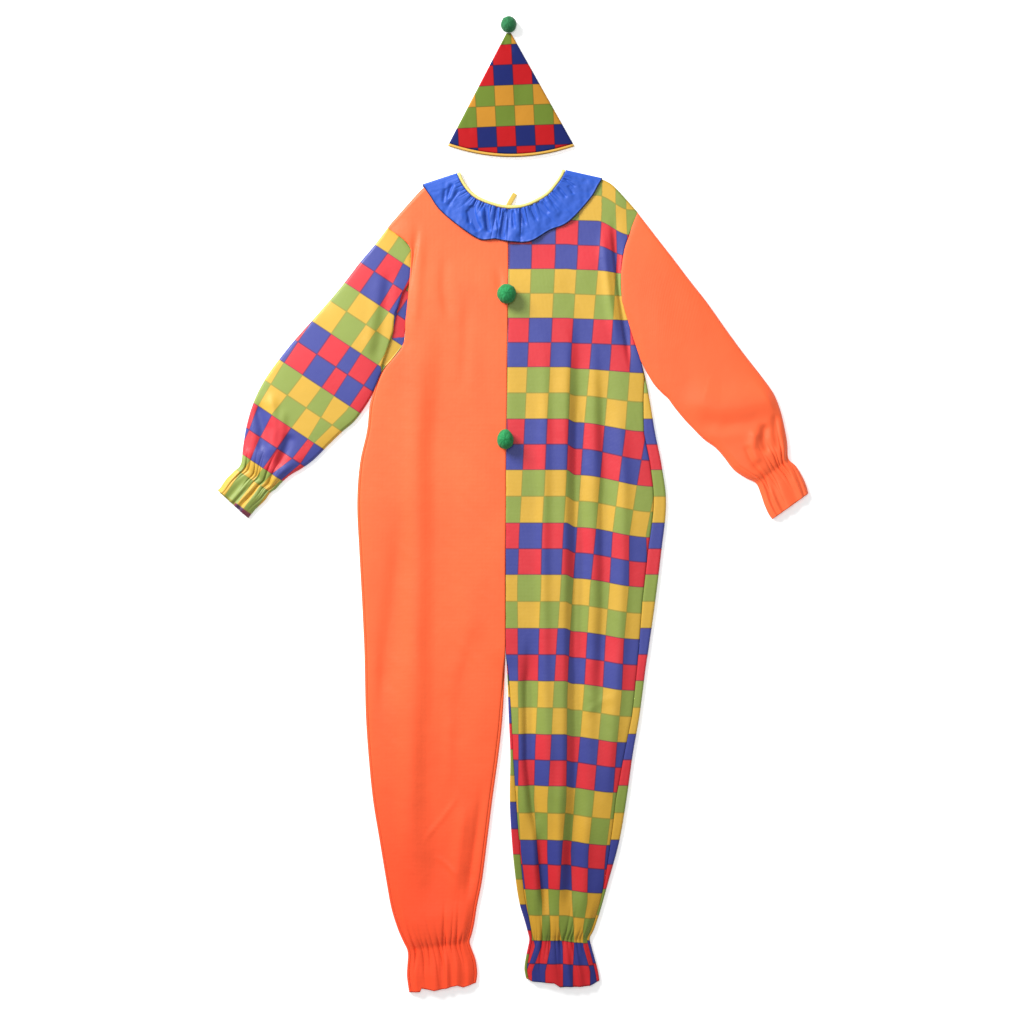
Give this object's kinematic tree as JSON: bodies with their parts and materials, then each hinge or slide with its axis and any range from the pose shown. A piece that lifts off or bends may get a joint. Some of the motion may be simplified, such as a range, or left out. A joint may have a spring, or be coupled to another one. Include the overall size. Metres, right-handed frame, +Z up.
{
  "type": "clown costume",
  "caption": "Clown costume laid flat: long-sleeved jumpsuit, plain orange on one half and checked on the other, with gathered blue collar, frilled elastic cuffs, ball buttons and a cone hat.",
  "frame": {"origin": "on the surface it lies on, under the middle of the whole layout", "axes": "+Y from the hems up past the collar to the hat, +Z up off the surface, +X towards the checked half"},
  "size_m": [1.092, 1.8023, 0.0413],
  "materials": {
    "orange_cloth": "thin plain-weave polyester, soft sheen",
    "check_cloth": "thin printed polyester, blue, red, yellow and green rectangles",
    "blue_satin": "polyester satin, gathered",
    "yellow_tape": "folded polyester binding tape",
    "green_felt": "soft matt felted ball"
  },
  "bodies": {
    "root": {"front_orange": "orange_cloth", "back_orange": "orange_cloth", "sleeve_orange": "orange_cloth", "front_check": "check_cloth", "back_check": "check_cloth", "sleeve_check": "check_cloth", "hat_cone": "check_cloth", "collar_ruffle": "blue_satin", "neck_binding": "yellow_tape", "neck_tape": "yellow_tape", "hat_binding": "yellow_tape", "button_upper": "green_felt", "button_lower": "green_felt", "hat_pompom": "green_felt"}
  },
  "joints": []
}
